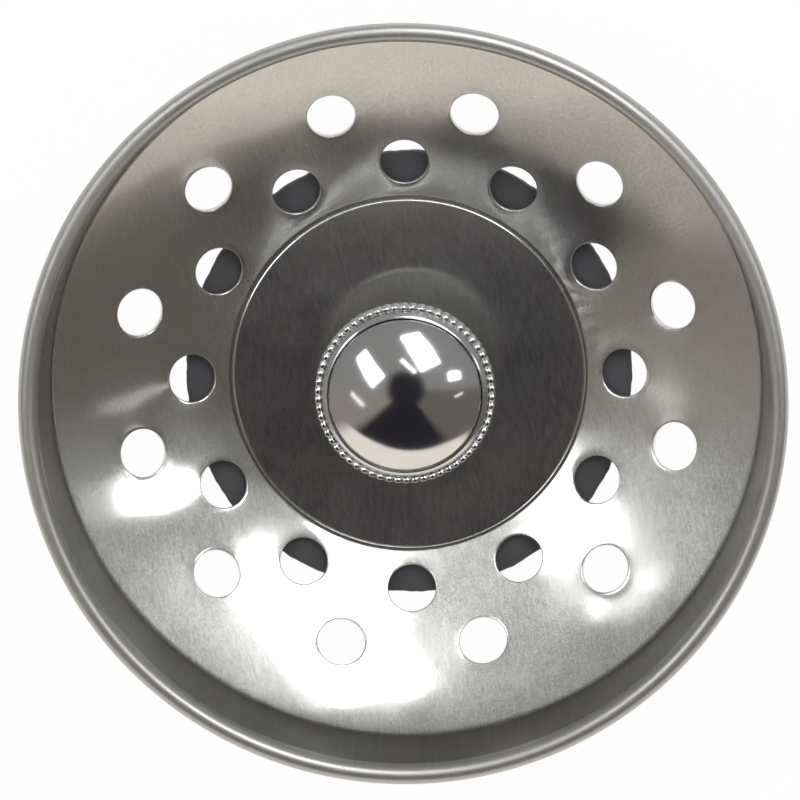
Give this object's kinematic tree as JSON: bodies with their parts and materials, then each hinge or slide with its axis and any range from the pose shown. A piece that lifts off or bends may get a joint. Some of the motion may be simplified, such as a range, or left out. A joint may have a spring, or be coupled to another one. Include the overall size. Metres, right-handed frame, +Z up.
{
  "type": "sink strainer basket",
  "caption": "Round sink strainer basket: stamped steel pan with rolled rim and punched holes, low domed knob on a sliding centre post, and a rubber stopper beneath.",
  "frame": {"origin": "on the centre line, at the foot of the rubber stopper that the part stands on, with the stopper drawn up", "axes": "+Z up along the centre post, from the stopper towards the knob; +X through a hole of the inner row"},
  "size_m": [0.083, 0.083, 0.0354],
  "materials": {
    "stainless_sheet": "rolled and bright",
    "chrome_plate": "mirror",
    "polished_rod": "polished",
    "turned_brass": "turned",
    "plain_steel": "satin",
    "black_rubber": "moulded, matte"
  },
  "bodies": {
    "basket": {"basket_pan": "stainless_sheet", "guide_bush": "chrome_plate", "bush_nut": "turned_brass", "grip_ring": "black_rubber"},
    "stopper": {"rubber_stopper": "black_rubber"},
    "spindle": {"centre_post": "polished_rod", "knob_dome": "chrome_plate", "knurled_collar": "chrome_plate", "upper_washer": "plain_steel", "stopper_spacer": "turned_brass", "lower_washer": "plain_steel", "lock_washer": "plain_steel", "end_nut": "plain_steel"}
  },
  "joints": [
    {"name": "stopper_slide", "type": "slide", "parent": "basket", "child": "stopper", "axis": [0, 0, 1], "range_m": [-0.0081, 0]},
    {"name": "knob_turn", "type": "hinge", "parent": "stopper", "child": "spindle", "pos_m": [0, 0, 0.0236], "axis": [0, 0, 1], "continuous": true}
  ]
}
